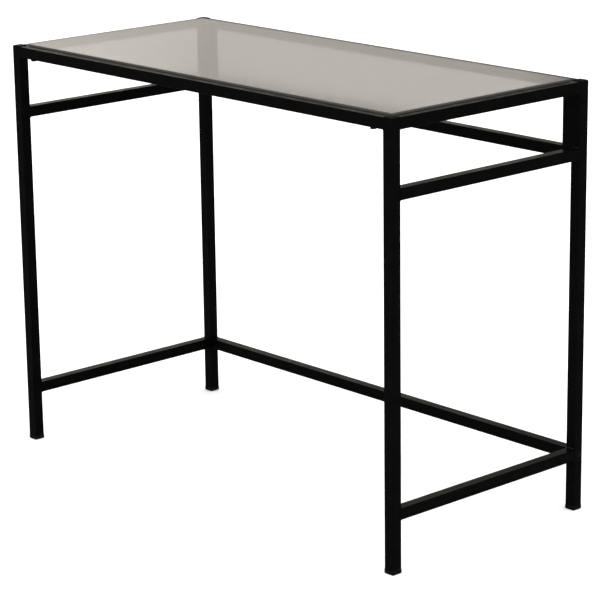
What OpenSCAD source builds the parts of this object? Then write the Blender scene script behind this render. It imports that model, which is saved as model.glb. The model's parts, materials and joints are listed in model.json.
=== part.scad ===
// Open steel-tube writing desk with a loose tinted glass top.
// Two welded side frames, a welded back apron, a front rail and a low back
// stretcher bolt together. The glass lies on ledges inside the top rails and
// stands a little above them.
// Origin on the floor under the middle of the desk, +X right, +Y to the back.

/* [Overall] */
// Width of the frame over the legs
desk_w = 1000; // [800:10:1200]
// Depth of the frame over the legs
desk_d = 462; // [400:2:600]
// Height of the top rails above the floor
desk_h = 761; // [700:1:800]

/* [Tube] */
// Side of the square tube
tube = 20; // [16:1:25]
// Wall of the square tube
wall = 1.2; // [1:0.1:2]
// Outer corner radius of the tube
tube_r = 1.4; // [1.4:0.1:2]

/* [Rails] */
// Height of the top of the upper side and back rails
upper_z = 647; // [580:1:680]
// Height of the top of the low stretchers
lower_z = 112; // [60:1:200]
// Leg of the triangular weld beads
bead = 3; // [2:0.5:4]

/* [Top] */
// Thickness of the glass
glass_t = 6; // [5:1:8]
// How far the glass stands above the rails
glass_proud = 3; // [2:0.5:5]
// Gap between the glass and the rails around it
glass_gap = 1; // [1:0.5:3]
// Corner radius of the glass
glass_r = 4; // [2:1:8]
// Width of the ledge that carries the glass
ledge_w = 12; // [10:1:20]
// Thickness of the ledge
ledge_t = 3; // [2:0.5:4]
// Thickness of the clear bumpers under the glass
pad_t = 1; // [0.5:0.5:2]
// Diameter of the clear bumpers
pad_d = 8; // [6:1:10]

/* [Front rail fixing] */
// Length of the stubs inside the ends of the front rail
stub_l = 45; // [40:1:60]
// Distance of the clamp bolts from the legs
clamp_in = 31; // [20:1:35]
// Shank diameter of the clamp bolts
clamp_d = 6; // [5:1:6]
// Head diameter of the clamp bolts
clamp_head_d = 10; // [9:0.5:10]
// Head height of the clamp bolts
clamp_head_h = 3; // [3:0.5:6]
// Diameter of the washers
washer_d = 12; // [11:0.5:14]
// Thickness of the washers
washer_t = 1; // [1:0.1:1.6]

/* [Feet and caps] */
// Visible height of a plastic foot
foot_h = 8; // [6:1:14]
// How far a foot stands proud of the tube on each side
foot_proud = 0.5; // [0:0.25:1]
// Height of the domed caps on top of the legs
cap_t = 1.5; // [1:0.5:2.5]
// Depth of the plugs inside the tube
plug_l = 12; // [8:1:20]

/* [Bolts] */
// Shank diameter of the assembly bolts
bolt_d = 5; // [4:1:5]
// Head diameter of the assembly bolts
head_d = 9.5; // [8:0.5:10]
// Head height of the assembly bolts
head_h = 2.7; // [2:0.1:3]
// Hex socket across flats
socket_af = 3; // [2.5:0.5:4]
// Body diameter of the rivet nuts
rivnut_d = 7; // [6.5:0.5:8]
// Length of the rivet nuts
rivnut_l = 10; // [8:1:12]

/* [Hidden] */
$fn = 32;

steel_black = [0.04, 0.04, 0.045];
plastic_black = [0.07, 0.07, 0.07];
bolt_black = [0.1, 0.1, 0.11];
zinc = [0.6, 0.58, 0.5];
silicone = [0.8, 0.82, 0.82];
smoked_glass = [0.45, 0.44, 0.4];

// Edges and centre lines
half_w = desk_w / 2;
half_d = desk_d / 2;
inner_w = half_w - tube;
inner_d = half_d - tube;
leg_x = half_w - tube / 2;
leg_y = half_d - tube / 2;
rail_under = desk_h - tube;
glass_z = desk_h + glass_proud - glass_t;
pad_z = glass_z - pad_t;
ledge_z = pad_z - ledge_t;
bore = tube - 2 * wall;
clearance = 0.25;
nut_fit = 0.1;
bead_len = tube - 2 * tube_r;
foot_side = tube + 2 * foot_proud;
soft_edge = 1;
dome_inset = [0, 1.5, 4];
dome_r = 1.8;

// Bolt places
clamp_x = inner_w - clamp_in;
apron_drop = rail_under - upper_z;
apron_bolt_z = [upper_z + apron_drop * 0.22, upper_z + apron_drop * 0.78];
low_bolt_z = lower_z - tube / 2;
end_plug_l = 18;
stretcher_head_h = 1.6;
stub_side = bore - 2 * clearance;
clamp_l = wall + 12;
clamp_socket_af = 5;
pad_x = [-0.44 * desk_w, 0, 0.44 * desk_w];
pad_y = [-0.27 * desk_d, 0.27 * desk_d];

// ---- shared shapes ----

module rounded_rect(w, h, r) {
    square([w - 2 * r, h], center = true);
    square([w, h - 2 * r], center = true);
    for (x = [-1, 1], y = [-1, 1])
        translate([x * (w / 2 - r), y * (h / 2 - r)])
            circle(r);
}

module tube_profile() {
    difference() {
        rounded_rect(tube, tube, tube_r);
        rounded_rect(bore, bore, tube_r - wall);
    }
}

// Tubes that start at the origin and run up, to the right or to the back
module tube_up(l) {
    linear_extrude(l) tube_profile();
}

module tube_right(l) {
    rotate([90, 0, 90]) tube_up(l);
}

module tube_back(l) {
    rotate([-90, 0, 0]) tube_up(l);
}

// A plug that fills the mouth of a tube, hollow from the inner end, along +Z
module plug() {
    side = bore - 2 * clearance;
    difference() {
        linear_extrude(plug_l) rounded_rect(side, side, 1);
        translate([0, 0, 2]) linear_extrude(plug_l) rounded_rect(side - 4, side - 4, 1);
    }
    for (a = [0, 90])
        rotate(a)
            translate([-side / 2 + 1, -0.6, 1])
                cube([side - 2, 1.2, plug_l - 2]);
}

// Button-head bolt along +Z, with the underside of its head at the origin
module bolt(l, h = head_h) {
    difference() {
        union() {
            translate([0, 0, -h * 0.55]) cylinder(h = h * 0.55, d = head_d);
            translate([0, 0, -h]) cylinder(h = h * 0.45, d1 = head_d * 0.68, d2 = head_d);
            cylinder(h = l, d = bolt_d - nut_fit);
        }
        translate([0, 0, -h - 0.1]) cylinder(h = h * 0.6 + 0.1, d = socket_af / cos(30), $fn = 6);
    }
}

// Socket-head bolt along +Z with a washer, whose top face is at the origin
module washer_bolt(l) {
    head_z = -washer_t - clamp_head_h;
    difference() {
        union() {
            translate([0, 0, -washer_t]) cylinder(h = washer_t, d = washer_d);
            translate([0, 0, head_z]) cylinder(h = clamp_head_h, d = clamp_head_d);
            cylinder(h = l, d = clamp_d - nut_fit);
        }
        translate([0, 0, head_z - 0.1])
            cylinder(h = clamp_head_h * 0.5 + 0.1, d = clamp_socket_af / cos(30), $fn = 6);
    }
}

// Threaded sleeve along +Z
module rivet_nut(l = rivnut_l) {
    difference() {
        cylinder(h = l, d = rivnut_d);
        translate([0, 0, -1]) cylinder(h = l + 2, d = bolt_d);
    }
}

// Triangular fillet in the corner between +Y and +Z, running along X
module bead_x() {
    translate([-bead_len / 2, 0, 0])
        rotate([90, 0, 90])
            linear_extrude(bead_len)
                polygon([[0, 0], [bead, 0], [bead * 0.6, bead * 0.6], [0, bead]]);
}

// The same fillet running along Y, in the corner between +X and +Z
module bead_y() {
    rotate(-90) bead_x();
}

// Drill holes through a node along X or Z
module drill_x(d, l) {
    rotate([0, 90, 0]) cylinder(h = l, d = d);
}

module drill_z(d, l) {
    cylinder(h = l, d = d);
}

// ---- side frames: side is -1 on the left and 1 on the right ----

// Back legs carry the apron's rivet nuts, and a clearance hole for the stretcher bolt
module leg(side, end) {
    color(steel_black)
        difference() {
            translate([side * leg_x, end * leg_y, foot_h])
                tube_up(desk_h - foot_h);
            if (end > 0) {
                for (z = apron_bolt_z)
                    translate([side * inner_w, leg_y, z])
                        mirror([side > 0 ? 0 : 1, 0, 0])
                            translate([-1, 0, 0]) drill_x(rivnut_d, wall + 2);
                translate([side * leg_x - tube, leg_y, low_bolt_z])
                    drill_x(bolt_d + 0.5, 2 * tube);
            }
        }
}

module foot(side, end) {
    color(plastic_black)
        translate([side * leg_x, end * leg_y, 0]) {
            translate([0, 0, foot_h - soft_edge])
                linear_extrude(soft_edge)
                    rounded_rect(foot_side - 0.6, foot_side - 0.6, 1.5);
            translate([0, 0, soft_edge])
                linear_extrude(foot_h - 2 * soft_edge)
                    rounded_rect(foot_side, foot_side, 1.8);
            linear_extrude(soft_edge)
                rounded_rect(foot_side - 2, foot_side - 2, 1.5);
            translate([0, 0, foot_h]) plug();
        }
}

// Domed plastic cap on top of a leg, with a plug inside the tube
module leg_cap(side, end) {
    step_t = cap_t / len(dome_inset);
    color(plastic_black)
        translate([side * leg_x, end * leg_y, desk_h]) {
            for (i = [0 : len(dome_inset) - 1])
                translate([0, 0, i * step_t])
                    linear_extrude(step_t)
                        rounded_rect(tube - dome_inset[i], tube - dome_inset[i], dome_r);
            mirror([0, 0, 1]) plug();
        }
}

// A tube between the two legs of a side frame, with its top at height z
module side_bar(side, z) {
    color(steel_black)
        translate([side * leg_x, -inner_d, z - tube / 2])
            tube_back(2 * inner_d);
}

// Fillets above and below the two lower bars, under the top rail, and on the
// front leg under the front rail
module side_welds(side) {
    color(steel_black) {
        for (end = [-1, 1])
            translate([side * leg_x, end * inner_d, 0])
                mirror([0, end > 0 ? 1 : 0, 0]) {
                    translate([0, 0, rail_under]) mirror([0, 0, 1]) bead_x();
                    for (z = [upper_z, lower_z]) {
                        translate([0, 0, z]) bead_x();
                        translate([0, 0, z - tube]) mirror([0, 0, 1]) bead_x();
                    }
                }
        translate([side * inner_w, -leg_y, rail_under])
            mirror([side > 0 ? 1 : 0, 0, 0])
                mirror([0, 0, 1]) bead_y();
    }
}

// ---- front rail, back apron and low back stretcher ----

module top_rail_front() {
    color(steel_black)
        difference() {
            translate([-inner_w, -leg_y, desk_h - tube / 2])
                tube_right(2 * inner_w);
            for (side = [-1, 1])
                translate([side * clamp_x, -leg_y, rail_under - 1])
                    drill_z(clamp_d + 0.5, wall + 2);
        }
}

module top_rail_back() {
    color(steel_black)
        translate([-inner_w, leg_y, desk_h - tube / 2])
            tube_right(2 * inner_w);
}

module upper_rail_back() {
    color(steel_black)
        translate([-inner_w, leg_y, upper_z - tube / 2])
            tube_right(2 * inner_w);
}

module apron_post(side) {
    color(steel_black)
        difference() {
            translate([side * (inner_w - tube / 2), leg_y, upper_z])
                tube_up(apron_drop);
            for (z = apron_bolt_z)
                translate([side * (inner_w - tube / 2) - tube, leg_y, z])
                    drill_x(bolt_d + 0.5, 2 * tube);
        }
}

module apron_welds() {
    color(steel_black)
        for (side = [-1, 1])
            translate([side * (inner_w - tube), leg_y, 0])
                mirror([side > 0 ? 1 : 0, 0, 0]) {
                    translate([0, 0, upper_z]) bead_y();
                    translate([0, 0, rail_under]) mirror([0, 0, 1]) bead_y();
                }
}

module low_stretcher_back() {
    color(steel_black)
        translate([-inner_w, leg_y, lower_z - tube / 2])
            tube_right(2 * inner_w);
}

// ---- ledges, glass and its bumpers ----

module ledge_long(end) {
    y0 = end > 0 ? inner_d - ledge_w : -inner_d;
    color(steel_black)
        translate([-inner_w, y0, ledge_z])
            cube([2 * inner_w, ledge_w, ledge_t]);
}

module ledge_short(side) {
    x0 = side > 0 ? inner_w - ledge_w : -inner_w;
    color(steel_black)
        translate([x0, -inner_d + ledge_w, ledge_z])
            cube([ledge_w, 2 * (inner_d - ledge_w), ledge_t]);
}

module glass_pads() {
    color(silicone) {
        for (x = pad_x, end = [-1, 1])
            translate([x, end * (inner_d - ledge_w / 2), pad_z])
                cylinder(h = pad_t, d = pad_d);
        for (y = pad_y, side = [-1, 1])
            translate([side * (inner_w - ledge_w / 2), y, pad_z])
                cylinder(h = pad_t, d = pad_d);
    }
}

module glass_top() {
    color(smoked_glass, 0.4)
        translate([0, 0, glass_z])
            linear_extrude(glass_t)
                rounded_rect(2 * (inner_w - glass_gap), 2 * (inner_d - glass_gap), glass_r);
}

// ---- fasteners ----

// Bars welded to the side frames, over which the ends of the front rail slide
module front_rail_stubs() {
    color(steel_black)
        for (flip = [0, 1])
            mirror([flip, 0, 0])
                difference() {
                    translate([inner_w - stub_l, -leg_y, desk_h - tube / 2])
                        rotate([90, 0, 90])
                            linear_extrude(stub_l) rounded_rect(stub_side, stub_side, 1);
                    translate([clamp_x, -leg_y, rail_under - 1]) drill_z(clamp_d, tube + 2);
                }
}

module front_rail_bolts() {
    color(bolt_black)
        for (side = [-1, 1])
            translate([side * clamp_x, -leg_y, rail_under]) washer_bolt(clamp_l);
}

// Bolts run outwards through the apron posts into the back legs
module apron_bolts() {
    color(bolt_black)
        for (flip = [0, 1], z = apron_bolt_z)
            mirror([flip, 0, 0])
                translate([inner_w - tube, leg_y, z])
                    rotate([0, 90, 0]) bolt(tube + rivnut_l);
}

module apron_rivet_nuts() {
    color(zinc)
        for (flip = [0, 1], z = apron_bolt_z)
            mirror([flip, 0, 0])
                translate([inner_w, leg_y, z])
                    rotate([0, 90, 0]) rivet_nut();
}

// Low-head bolts run inwards through the back legs into the stretcher's ends
module stretcher_bolts() {
    color(bolt_black)
        for (flip = [0, 1])
            mirror([flip, 0, 0])
                translate([half_w, leg_y, low_bolt_z])
                    rotate([0, -90, 0]) bolt(tube + end_plug_l - 4, stretcher_head_h);
}

// Threaded blocks fixed inside the ends of the low back stretcher
module stretcher_end_plugs() {
    side = bore - 0.1;
    color(zinc)
        for (flip = [0, 1])
            mirror([flip, 0, 0])
                translate([inner_w, leg_y, low_bolt_z])
                    rotate([0, -90, 0])
                        difference() {
                            linear_extrude(end_plug_l) rounded_rect(side, side, 1);
                            translate([0, 0, -1]) cylinder(h = end_plug_l + 2, d = bolt_d);
                        }
}

// ---- one node at a time ----

leg(-1, -1);  // leg_front_left
leg(1, -1);  // leg_front_right
leg(-1, 1);  // leg_back_left
leg(1, 1);  // leg_back_right
foot(-1, -1);  // foot_front_left
foot(1, -1);  // foot_front_right
foot(-1, 1);  // foot_back_left
foot(1, 1);  // foot_back_right
leg_cap(-1, -1);  // leg_cap_front_left
leg_cap(1, -1);  // leg_cap_front_right
leg_cap(-1, 1);  // leg_cap_back_left
leg_cap(1, 1);  // leg_cap_back_right
side_bar(-1, desk_h);  // top_rail_left
side_bar(1, desk_h);  // top_rail_right
top_rail_front();
top_rail_back();
side_bar(-1, upper_z);  // upper_rail_left
side_bar(1, upper_z);  // upper_rail_right
upper_rail_back();
apron_post(-1);  // apron_post_left
apron_post(1);  // apron_post_right
side_bar(-1, lower_z);  // low_stretcher_left
side_bar(1, lower_z);  // low_stretcher_right
low_stretcher_back();
ledge_long(-1);  // ledge_front
ledge_long(1);  // ledge_back
ledge_short(-1);  // ledge_left
ledge_short(1);  // ledge_right
front_rail_stubs();
front_rail_bolts();
apron_bolts();
apron_rivet_nuts();
stretcher_bolts();
stretcher_end_plugs();
side_welds(-1);  // welds_left_frame
side_welds(1);  // welds_right_frame
apron_welds();  // welds_apron
glass_pads();
glass_top();
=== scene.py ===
import json
import math
import random

import bmesh
import bpy
from mathutils import Matrix, Vector


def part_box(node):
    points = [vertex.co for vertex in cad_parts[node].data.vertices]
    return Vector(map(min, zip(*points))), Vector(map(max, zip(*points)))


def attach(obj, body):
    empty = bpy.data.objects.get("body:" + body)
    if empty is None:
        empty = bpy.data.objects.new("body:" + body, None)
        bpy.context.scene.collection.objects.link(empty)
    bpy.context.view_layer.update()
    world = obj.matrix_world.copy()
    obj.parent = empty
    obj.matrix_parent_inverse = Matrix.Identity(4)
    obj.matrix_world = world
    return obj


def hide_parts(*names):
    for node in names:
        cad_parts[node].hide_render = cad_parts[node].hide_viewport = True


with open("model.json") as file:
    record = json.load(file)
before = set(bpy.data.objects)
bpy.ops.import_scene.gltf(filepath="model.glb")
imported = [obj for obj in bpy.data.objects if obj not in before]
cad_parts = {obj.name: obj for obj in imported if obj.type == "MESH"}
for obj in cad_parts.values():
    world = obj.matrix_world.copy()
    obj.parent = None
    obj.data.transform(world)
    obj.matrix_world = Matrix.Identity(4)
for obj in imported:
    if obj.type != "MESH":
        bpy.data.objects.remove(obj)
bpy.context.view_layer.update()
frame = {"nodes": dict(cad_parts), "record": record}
random.seed(41)

MM = 0.001
SIDES = (-1, 1)

# ---------------------------------------------------------------- sizes read from the frame

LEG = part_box("leg_front_right")
TUBE = LEG[1].x - LEG[0].x
HALF_W = LEG[1].x
HALF_D = -LEG[0].y
INNER_W = HALF_W - TUBE
INNER_D = HALF_D - TUBE
RAIL_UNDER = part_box("top_rail_left")[0].z
UPPER_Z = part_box("upper_rail_left")[1].z
LOWER_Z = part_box("low_stretcher_left")[1].z
TUBE_ROUND = 1.4 * MM
GLASS_BEVEL = 1.6 * MM


# ---------------------------------------------------------------- node helpers

def new_material(name):
    """An empty node material, its tree, and its Principled shader."""
    material = bpy.data.materials.new(name)
    material.use_nodes = True
    tree = material.node_tree
    shader = tree.nodes["Principled BSDF"]
    return material, tree, shader


def add_node(tree, kind, **settings):
    """A node of the given kind with its properties and input defaults set by name."""
    node = tree.nodes.new(kind)
    for key, value in settings.items():
        if key in node.inputs:
            node.inputs[key].default_value = value
        else:
            setattr(node, key, value)
    return node


def object_coords(tree):
    return tree.nodes.new("ShaderNodeTexCoord").outputs["Object"]


def noise(tree, coords, scale, detail=3.0, rough=0.55):
    node = add_node(tree, "ShaderNodeTexNoise", Scale=scale, Detail=detail, Roughness=rough)
    tree.links.new(coords, node.inputs["Vector"])
    return node.outputs["Fac"]


def remap(tree, value, low, high, out_low, out_high):
    """value from low..high to out_low..out_high, clamped."""
    node = tree.nodes.new("ShaderNodeMapRange")
    tree.links.new(value, node.inputs["Value"])
    for key, number in (("From Min", low), ("From Max", high), ("To Min", out_low), ("To Max", out_high)):
        node.inputs[key].default_value = number
    return node.outputs["Result"]


def combine(tree, operation, a, b):
    node = add_node(tree, "ShaderNodeMath", operation=operation)
    for socket, value in zip(node.inputs, (a, b)):
        if isinstance(value, (int, float)):
            socket.default_value = value
        else:
            tree.links.new(value, socket)
    return node.outputs[0]


def mix_colours(tree, factor, a, b):
    """Mix of two colours, each fixed or varying, by a varying factor."""
    node = tree.nodes.new("ShaderNodeMix")
    node.data_type = "RGBA"
    tree.links.new(factor, node.inputs["Factor"])
    for key, colour in (("A", a), ("B", b)):
        if isinstance(colour, tuple):
            node.inputs[key].default_value = (*colour, 1.0)
        else:
            tree.links.new(colour, node.inputs[key])
    return node.outputs["Result"]


def bump(tree, height, strength, distance, under=None):
    node = add_node(tree, "ShaderNodeBump", Strength=strength, Distance=distance)
    tree.links.new(height, node.inputs["Height"])
    if under is not None:
        tree.links.new(under, node.inputs["Normal"])
    return node.outputs["Normal"]


def edge_mask(tree, radius, low=0.004, high=0.06):
    """1 along sharp or tightly rounded edges, 0 on the flats."""
    rounded = add_node(tree, "ShaderNodeBevel", samples=4, Radius=radius)
    geometry = tree.nodes.new("ShaderNodeNewGeometry")
    dot = tree.nodes.new("ShaderNodeVectorMath")
    dot.operation = "DOT_PRODUCT"
    tree.links.new(rounded.outputs["Normal"], dot.inputs[0])
    tree.links.new(geometry.outputs["True Normal"], dot.inputs[1])
    away = combine(tree, "SUBTRACT", 1.0, dot.outputs["Value"])
    return remap(tree, away, low, high, 0.0, 1.0)


# ---------------------------------------------------------------- materials

def powder_coat(name="powder_coat"):
    """Satin black powder coat: orange peel, faint mottling, edges rubbed a little lighter."""
    material, tree, shader = new_material(name)
    coords = object_coords(tree)
    peel = noise(tree, coords, 620.0, 2.0)
    grit = noise(tree, coords, 2600.0, 1.0)
    mottle = noise(tree, coords, 38.0, 4.0)
    rubs = noise(tree, coords, 210.0, 4.0, 0.7)
    worn = combine(tree, "MULTIPLY", edge_mask(tree, 0.9 * MM), remap(tree, rubs, 0.42, 0.68, 0.0, 1.0))
    dust = remap(tree, mottle, 0.35, 0.75, 0.0, 0.35)
    tone = combine(tree, "MAXIMUM", worn, dust)
    colour = mix_colours(tree, tone, (0.0005, 0.0005, 0.0005), (0.0025, 0.0024, 0.0023))
    polish = combine(tree, "MULTIPLY", worn, 0.08)
    rough = combine(tree, "SUBTRACT", remap(tree, mottle, 0.3, 0.7, 0.27, 0.4), polish)
    normal = bump(tree, peel, 0.35, 0.06 * MM)
    normal = bump(tree, grit, 0.2, 0.02 * MM, normal)
    tree.links.new(colour, shader.inputs["Base Color"])
    tree.links.new(rough, shader.inputs["Roughness"])
    tree.links.new(normal, shader.inputs["Normal"])
    shader.inputs["Specular IOR Level"].default_value = 0.12
    return material


def moulded_plastic(name="moulded_plastic"):
    """Black injection-moulded polyethylene with a fine spark-eroded texture."""
    material, tree, shader = new_material(name)
    coords = object_coords(tree)
    texture = noise(tree, coords, 1900.0, 2.0)
    scuffs = noise(tree, coords, 160.0, 5.0, 0.7)
    scuffed = combine(tree, "MULTIPLY", edge_mask(tree, 1.0 * MM), remap(tree, scuffs, 0.45, 0.7, 0.0, 1.0))
    colour = mix_colours(tree, scuffed, (0.003, 0.003, 0.003), (0.01, 0.01, 0.0098))
    rough = remap(tree, scuffs, 0.3, 0.7, 0.48, 0.64)
    tree.links.new(colour, shader.inputs["Base Color"])
    tree.links.new(rough, shader.inputs["Roughness"])
    tree.links.new(bump(tree, texture, 0.5, 0.04 * MM), shader.inputs["Normal"])
    shader.inputs["Specular IOR Level"].default_value = 0.16
    return material


def black_oxide(name="black_oxide"):
    """Blackened bolt steel with faint turning marks and bare edges."""
    material, tree, shader = new_material(name)
    coords = object_coords(tree)
    stains = noise(tree, coords, 420.0, 4.0)
    fine = noise(tree, coords, 3000.0, 1.0)
    bare = combine(tree, "MULTIPLY", edge_mask(tree, 0.4 * MM), remap(tree, stains, 0.4, 0.6, 0.2, 1.0))
    colour = mix_colours(tree, bare, (0.012, 0.012, 0.013), (0.08, 0.08, 0.083))
    tree.links.new(colour, shader.inputs["Base Color"])
    tree.links.new(remap(tree, stains, 0.3, 0.7, 0.28, 0.46), shader.inputs["Roughness"])
    tree.links.new(bump(tree, fine, 0.3, 0.02 * MM), shader.inputs["Normal"])
    shader.inputs["Metallic"].default_value = 0.75
    return material


def zinc_plate(name="zinc_plate"):
    """Yellow-passivated zinc with cloudy patches."""
    material, tree, shader = new_material(name)
    coords = object_coords(tree)
    cloud = noise(tree, coords, 300.0, 4.0)
    fine = noise(tree, coords, 2400.0, 2.0)
    patches = remap(tree, cloud, 0.35, 0.65, 0.0, 1.0)
    colour = mix_colours(tree, patches, (0.52, 0.5, 0.42), (0.62, 0.57, 0.42))
    tree.links.new(colour, shader.inputs["Base Color"])
    tree.links.new(remap(tree, cloud, 0.3, 0.7, 0.26, 0.44), shader.inputs["Roughness"])
    tree.links.new(bump(tree, fine, 0.2, 0.01 * MM), shader.inputs["Normal"])
    shader.inputs["Metallic"].default_value = 1.0
    return material


def clear_silicone(name="clear_silicone"):
    """Soft translucent silicone, slightly cloudy."""
    material, tree, shader = new_material(name)
    coords = object_coords(tree)
    haze = noise(tree, coords, 700.0, 3.0)
    colour = mix_colours(tree, haze, (0.8, 0.82, 0.82), (0.9, 0.91, 0.9))
    tree.links.new(colour, shader.inputs["Base Color"])
    tree.links.new(remap(tree, haze, 0.3, 0.7, 0.3, 0.5), shader.inputs["Roughness"])
    tree.links.new(bump(tree, haze, 0.2, 0.03 * MM), shader.inputs["Normal"])
    shader.inputs["Transmission Weight"].default_value = 0.7
    shader.inputs["IOR"].default_value = 1.41
    return material


def ground_edge(tree):
    """1 on the ground upright edges of a flat sheet, 0 on its faces."""
    geometry = tree.nodes.new("ShaderNodeNewGeometry")
    split = tree.nodes.new("ShaderNodeSeparateXYZ")
    tree.links.new(geometry.outputs["True Normal"], split.inputs[0])
    return remap(tree, combine(tree, "ABSOLUTE", split.outputs["Z"], 0.0), 0.6, 0.9, 1.0, 0.0)


def smoked_glass(name="smoked_glass"):
    """Tempered float glass with a warm grey body tint and the faint waviness of the rollers."""
    material, tree, shader = new_material(name)
    coords = object_coords(tree)
    wave = noise(tree, coords, 9.0, 1.0)
    wipe = noise(tree, coords, 26.0, 4.0, 0.6)
    ground = ground_edge(tree)
    tint = mix_colours(tree, wipe, (0.188, 0.184, 0.175), (0.205, 0.2, 0.19))
    smear = remap(tree, wipe, 0.3, 0.75, 0.03, 0.055)
    colour = mix_colours(tree, ground, tint, (0.075, 0.075, 0.071))
    tree.links.new(colour, shader.inputs["Base Color"])
    rough = combine(tree, "MAXIMUM", smear, combine(tree, "MULTIPLY", ground, 0.4))
    tree.links.new(rough, shader.inputs["Roughness"])
    tree.links.new(bump(tree, wave, 0.02, 0.1 * MM), shader.inputs["Normal"])
    tree.links.new(combine(tree, "SUBTRACT", 1.0, ground), shader.inputs["Transmission Weight"])
    shader.inputs["IOR"].default_value = 1.5
    return material


MATERIALS = {
    "black_steel": powder_coat(),
    "black_plastic": moulded_plastic(),
    "black_bolt": black_oxide(),
    "zinc": zinc_plate(),
    "silicone": clear_silicone(),
    "smoked_glass": smoked_glass(),
}


# ---------------------------------------------------------------- CAD nodes that stay

def shade_by_angle(piece, degrees=35.0):
    """Smooth shading across the rounded edges, with creases where flats meet."""
    mesh = piece.data
    limit = math.radians(degrees)
    work = bmesh.new()
    work.from_mesh(mesh)
    for face in work.faces:
        face.smooth = True
    for edge in work.edges:
        edge.smooth = len(edge.link_faces) == 2 and edge.calc_face_angle(0.0) < limit
    work.to_mesh(mesh)
    work.free()


def dress_cad_nodes():
    slot_of = {row["node"]: row["material_slot"] for row in frame["record"]["subparts"]}
    for name, node in frame["nodes"].items():
        node.data.materials.clear()
        node.data.materials.append(MATERIALS[slot_of[name]])


def soften(name, width, segments=2):
    """A small bevel on the sharp edges of a CAD node."""
    bevel = frame["nodes"][name].modifiers.new("soft_edges", "BEVEL")
    bevel.width = width
    bevel.segments = segments
    bevel.limit_method = "ANGLE"
    bevel.angle_limit = math.radians(40.0)
    bevel.harden_normals = False


def soften_edges():
    soften("glass_top", GLASS_BEVEL, 4)
    for ledge in ("front", "back", "left", "right"):
        soften(f"ledge_{ledge}", 0.3 * MM)
    for side in ("left", "right"):
        for end in ("front", "back"):
            soften(f"foot_{end}_{side}", 0.35 * MM)
            soften(f"leg_cap_{end}_{side}", 0.2 * MM)
    for name in ("glass_pads", "front_rail_bolts", "apron_bolts", "stretcher_bolts"):
        soften(name, 0.25 * MM)


# ---------------------------------------------------------------- mesh helpers

def piece_from(work, name, material, nodes, body="frame", smooth_angle=40.0):
    """Turns a bmesh into a piece that rides on a body in place of the given CAD nodes."""
    bmesh.ops.recalc_face_normals(work, faces=work.faces)
    mesh = bpy.data.meshes.new(name)
    work.to_mesh(mesh)
    work.free()
    piece = bpy.data.objects.new(name, mesh)
    bpy.context.scene.collection.objects.link(piece)
    mesh.materials.append(material)
    shade_by_angle(piece, smooth_angle)
    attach(piece, body)
    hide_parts(*nodes)
    return piece


def bridge_rings(work, rings):
    """A closed skin over neighbouring rings of points, with flat ends."""
    made = [[work.verts.new(point) for point in ring] for ring in rings]
    count = len(made[0])
    for low, high in zip(made, made[1:]):
        for i in range(count):
            j = (i + 1) % count
            work.faces.new((low[i], low[j], high[j], high[i]))
    work.faces.new(list(reversed(made[0])))
    work.faces.new(made[-1])


# ---------------------------------------------------------------- weld beads

BEAD = 3.0 * MM
BEAD_PITCH = 1.7 * MM
BEAD_RING_STEPS = 5
BEAD_ARC_STEPS = 6
BEAD_END = 1.2 * MM
LEG_X = HALF_W - TUBE / 2
LEG_Y = HALF_D - TUBE / 2
BEAD_HALF = TUBE / 2 - TUBE_ROUND


def bead_leg(along, phase):
    """Leg of the fillet at a distance along it: overlapping ripples, and a rounded start and stop."""
    ripple = ((along / BEAD_PITCH + phase) % 1.0) ** 0.6
    near_end = min(along, 2 * BEAD_HALF - along) / BEAD_END
    taper = math.sqrt(max(0.0, min(1.0, near_end)) * 0.75 + 0.25)
    return BEAD * (0.8 + 0.2 * math.sin(math.pi * ripple)) * taper


def bead_ring(centre, wall_a, wall_b, leg):
    """The fillet's corner, and a front that bulges a little between the two walls."""
    ring = [centre]
    for k in range(BEAD_ARC_STEPS + 1):
        flat = k / BEAD_ARC_STEPS
        turn = flat * math.pi / 2
        share_a = 0.55 * (1.0 - flat) + 0.45 * math.cos(turn)
        share_b = 0.55 * flat + 0.45 * math.sin(turn)
        ring.append(centre + leg * (share_a * wall_a + share_b * wall_b))
    return ring


def add_bead(work, root, run, wall_a, wall_b):
    root, run, wall_a, wall_b = (Vector(v) for v in (root, run, wall_a, wall_b))
    phase = random.random()
    length = 2 * BEAD_HALF
    count = int(length / BEAD_PITCH * BEAD_RING_STEPS)
    rings = []
    for i in range(count + 1):
        along = length * i / count
        centre = root + run * (along - BEAD_HALF)
        rings.append(bead_ring(centre, wall_a, wall_b, bead_leg(along, phase)))
    bridge_rings(work, rings)


def side_frame_welds(side, name):
    """Beads above and below each side bar, under the top rail, and under the front rail."""
    work = bmesh.new()
    for end in SIDES:
        inward = (0, -end, 0)
        add_bead(work, (side * LEG_X, end * INNER_D, RAIL_UNDER), (1, 0, 0), inward, (0, 0, -1))
        for bar_top in (UPPER_Z, LOWER_Z):
            add_bead(work, (side * LEG_X, end * INNER_D, bar_top), (1, 0, 0), inward, (0, 0, 1))
            add_bead(work, (side * LEG_X, end * INNER_D, bar_top - TUBE), (1, 0, 0), inward, (0, 0, -1))
    add_bead(work, (side * INNER_W, -LEG_Y, RAIL_UNDER), (0, 1, 0), (-side, 0, 0), (0, 0, -1))
    piece_from(work, f"weld_beads_{name}", MATERIALS["black_steel"], [f"welds_{name}_frame"])


def apron_welds():
    work = bmesh.new()
    for side in SIDES:
        root_x = side * (INNER_W - TUBE)
        add_bead(work, (root_x, LEG_Y, UPPER_Z), (0, 1, 0), (-side, 0, 0), (0, 0, 1))
        add_bead(work, (root_x, LEG_Y, RAIL_UNDER), (0, 1, 0), (-side, 0, 0), (0, 0, -1))
    piece_from(work, "weld_beads_apron", MATERIALS["black_steel"], ["welds_apron"])


# ---------------------------------------------------------------- stage

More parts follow.
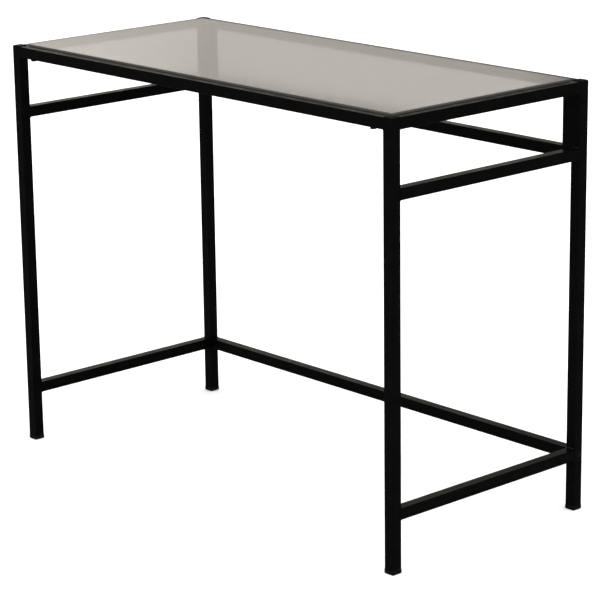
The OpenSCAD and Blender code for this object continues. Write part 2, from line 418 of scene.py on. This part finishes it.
CAMERA_AT = (3.230, -2.891, 1.515)
CAMERA_YAW = 47.94
CAMERA_PITCH = 15.33
CAMERA_ROLL = -0.77
CAMERA_LENS = 149.3
SENSOR_WIDTH = 36.0
FLOOR_SIZE = 60.0
DOME = 1.7
SOFTBOX_AT = (0.6, -0.8, 3.6)
SOFTBOX_SIZE = (3.0, 2.2)
SOFTBOX_POWER = 60.0
FLOOR_WHITE = (0.86, 0.86, 0.855)
FLOOR_IN_MIRROR = (0.07, 0.07, 0.07)

# What gloss mirrors in place of the white studio, tuned by comparing renders with the photo.
# Each pair of limits is a range of a unit direction's part to the picture's left, or of its part up.
WALL = 0.73
WALL_START = (-0.14, -0.09)
WALL_LEFT = 2.7
WALL_LEFT_RANGE = (0.03, 0.35)
WALL_END = (0.4, 0.7)
CEILING = 0.07
CEILING_RANGE = (0.2, 0.4)
ROOM_DIM = 0.06
ROOM_TINT = (1.075, 1.0, 0.89)


def make_camera():
    data = bpy.data.cameras.new("camera")
    data.lens = CAMERA_LENS
    data.sensor_width = SENSOR_WIDTH
    data.clip_end = 200.0
    camera = bpy.data.objects.new("camera", data)
    bpy.context.scene.collection.objects.link(camera)
    camera.matrix_world = (
        Matrix.Translation(CAMERA_AT)
        @ Matrix.Rotation(math.radians(CAMERA_YAW), 4, "Z")
        @ Matrix.Rotation(math.radians(90.0 - CAMERA_PITCH), 4, "X")
        @ Matrix.Rotation(math.radians(CAMERA_ROLL), 4, "Z")
    )
    bpy.context.scene.camera = camera


def mirror_ray(tree):
    """1 for a ray that left a surface as a reflection, 0 for camera, diffuse and see-through rays."""
    rays = tree.nodes.new("ShaderNodeLightPath")
    bounced = combine(tree, "SUBTRACT", rays.outputs["Is Glossy Ray"], rays.outputs["Is Transmission Ray"])
    return combine(tree, "MAXIMUM", bounced, 0.0)


def make_floor():
    """A plain white floor, which gloss mirrors as a dim one."""
    mesh = bpy.data.meshes.new("floor")
    far = FLOOR_SIZE
    corners = [(-far, -far, 0), (far, -far, 0), (far, far, 0), (-far, far, 0)]
    mesh.from_pydata(corners, [], [(0, 1, 2, 3)])
    floor = bpy.data.objects.new("floor", mesh)
    bpy.context.scene.collection.objects.link(floor)
    material, tree, shader = new_material("floor_paint")
    shade = mix_colours(tree, mirror_ray(tree), FLOOR_WHITE, FLOOR_IN_MIRROR)
    tree.links.new(shade, shader.inputs["Base Color"])
    shader.inputs["Roughness"].default_value = 0.9
    shader.inputs["Specular IOR Level"].default_value = 0.0
    mesh.materials.append(material)


def room_strength(tree, left, height):
    """Pale walls behind the desk and behind the camera, brighter to the picture's left, and dark elsewhere.

    left and height are parts of a unit direction, to the picture's left and up.
    """
    strength = remap(tree, left, *WALL_START, ROOM_DIM, WALL)
    brighter = remap(tree, left, *WALL_LEFT_RANGE, 1.0, WALL_LEFT)
    strength = combine(tree, "MULTIPLY", strength, brighter)
    wall_end = remap(tree, left, *WALL_END, 1.0, ROOM_DIM / WALL_LEFT)
    strength = combine(tree, "MULTIPLY", strength, wall_end)
    ceiling = remap(tree, height, *CEILING_RANGE, 1.0, CEILING)
    return combine(tree, "MULTIPLY", strength, ceiling)


def make_world():
    """White all round. Mirrored rays see a dim warm room instead."""
    world = bpy.data.worlds.new("studio")
    bpy.context.scene.world = world
    world.use_nodes = True
    tree = world.node_tree
    background = tree.nodes["Background"]
    coords = tree.nodes.new("ShaderNodeTexCoord").outputs["Generated"]
    yaw = math.radians(CAMERA_YAW)
    toward_left = tree.nodes.new("ShaderNodeVectorMath")
    toward_left.operation = "DOT_PRODUCT"
    toward_left.inputs[1].default_value = (-math.cos(yaw), -math.sin(yaw), 0.0)
    tree.links.new(coords, toward_left.inputs[0])
    split = tree.nodes.new("ShaderNodeSeparateXYZ")
    tree.links.new(coords, split.inputs[0])
    room = room_strength(tree, toward_left.outputs["Value"], split.outputs["Z"])
    mirrored = mirror_ray(tree)
    change = combine(tree, "MULTIPLY", mirrored, combine(tree, "SUBTRACT", room, DOME))
    tree.links.new(combine(tree, "ADD", DOME, change), background.inputs["Strength"])
    tint = mix_colours(tree, mirrored, (1.0, 1.0, 1.0), ROOM_TINT)
    tree.links.new(tint, background.inputs["Color"])


def area_light(name, at, target, size, power):
    data = bpy.data.lights.new(name, "AREA")
    data.shape = "RECTANGLE"
    data.size, data.size_y = size
    data.energy = power
    light = bpy.data.objects.new(name, data)
    bpy.context.scene.collection.objects.link(light)
    light.location = at
    light.rotation_mode = "QUATERNION"
    light.rotation_quaternion = (Vector(target) - Vector(at)).to_track_quat("-Z", "Y")


def make_stage():
    make_camera()
    make_floor()
    make_world()
    area_light("softbox_top", SOFTBOX_AT, (0, 0, 0), SOFTBOX_SIZE, SOFTBOX_POWER)
    settings = bpy.context.scene.view_settings
    settings.view_transform = "Standard"
    settings.look = "None"


make_stage()
dress_cad_nodes()
soften_edges()
side_frame_welds(-1, "left")
side_frame_welds(1, "right")
apron_welds()
